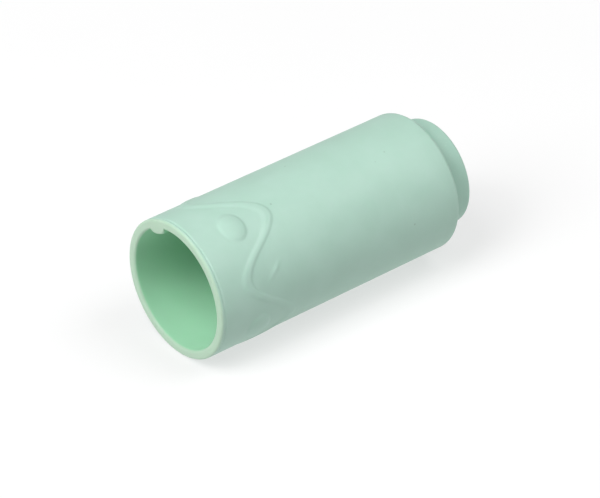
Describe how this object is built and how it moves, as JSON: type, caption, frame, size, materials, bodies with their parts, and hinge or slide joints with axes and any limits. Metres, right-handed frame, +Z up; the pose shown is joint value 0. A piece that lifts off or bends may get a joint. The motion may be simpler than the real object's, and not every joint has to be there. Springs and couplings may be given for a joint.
{
  "type": "saliva ejector tip",
  "caption": "Hollow tubular suction tip with a wide open mouth, a wavy grip rib, a soft narrow nose with a straw bore, and a lift-out strainer inside.",
  "frame": {"origin": "centre of the tip's bounding box at the level of its lowest point, with the tip lying on its side", "axes": "+X along the tip's axis from the open mouth to the nose, +Z up, +Y to the side away from the key's front edge"},
  "size_m": [0.0362, 0.0162, 0.0162],
  "materials": {
    "sleeve_plastic": "mint green, satin moulded",
    "nose_rubber": "green silicone, matt",
    "carrier_plastic": "pale grey, moulded",
    "strainer_plastic": "white, moulded",
    "seal_rubber": "black, moulded"
  },
  "bodies": {
    "sleeve": {"outer_sleeve": "sleeve_plastic", "nose_bush": "nose_rubber", "strainer_carrier": "carrier_plastic", "spigot_seal": "seal_rubber"},
    "strainer": {"strainer_basket": "strainer_plastic"}
  },
  "joints": [
    {"name": "strainer_slide", "type": "slide", "parent": "sleeve", "child": "strainer", "axis": [-1, 0, 0], "range_m": [0, 0.034]}
  ]
}
